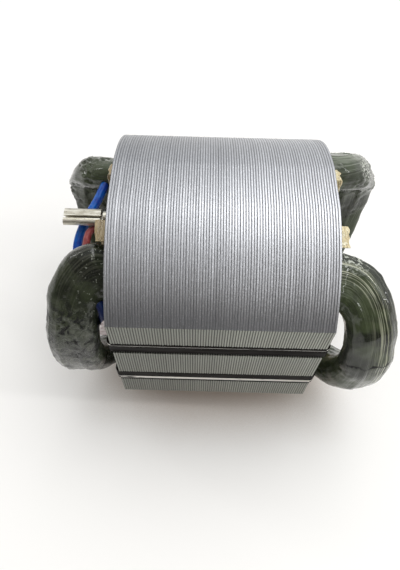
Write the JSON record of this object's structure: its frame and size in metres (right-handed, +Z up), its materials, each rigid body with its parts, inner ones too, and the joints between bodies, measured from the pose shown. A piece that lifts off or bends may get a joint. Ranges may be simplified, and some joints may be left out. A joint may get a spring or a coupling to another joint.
{
  "type": "wound stator lamination stack",
  "caption": "Laminated steel stator core with a through rotor bore, two varnished field coils arching over its ends, clamping cleats, slot paper, leads and a push-on terminal.",
  "frame": {"origin": "on the rotor bore's axis, midway between the stack's two end faces", "axes": "+X along the rotor bore towards the end without leads, -Y out through the front pole's flat, +Z up; the stack lies on its lower side facet"},
  "size_m": [0.0734, 0.0539, 0.0578],
  "materials": {
    "electrical_steel": "satin, stacked sheet edges",
    "cleat_steel": "dark varnish over bright steel",
    "liner_paper": "varnished insulation paper",
    "varnished_tape": "gloss varnish over taped winding",
    "tinned_brass": "bright tin plate",
    "blue_insulation": "semi-gloss",
    "red_insulation": "semi-gloss"
  },
  "bodies": {
    "root": {"lamination_stack": "electrical_steel", "cleat_front_upper": "cleat_steel", "cleat_front_lower": "cleat_steel", "cleat_rear_upper": "cleat_steel", "cleat_rear_lower": "cleat_steel", "slot_liner_front_upper": "liner_paper", "slot_liner_front_lower": "liner_paper", "slot_liner_rear_upper": "liner_paper", "slot_liner_rear_lower": "liner_paper", "front_coil": "varnished_tape", "rear_coil": "varnished_tape", "terminal": "tinned_brass", "lead_blue": "blue_insulation", "lead_red": "red_insulation"}
  },
  "joints": []
}
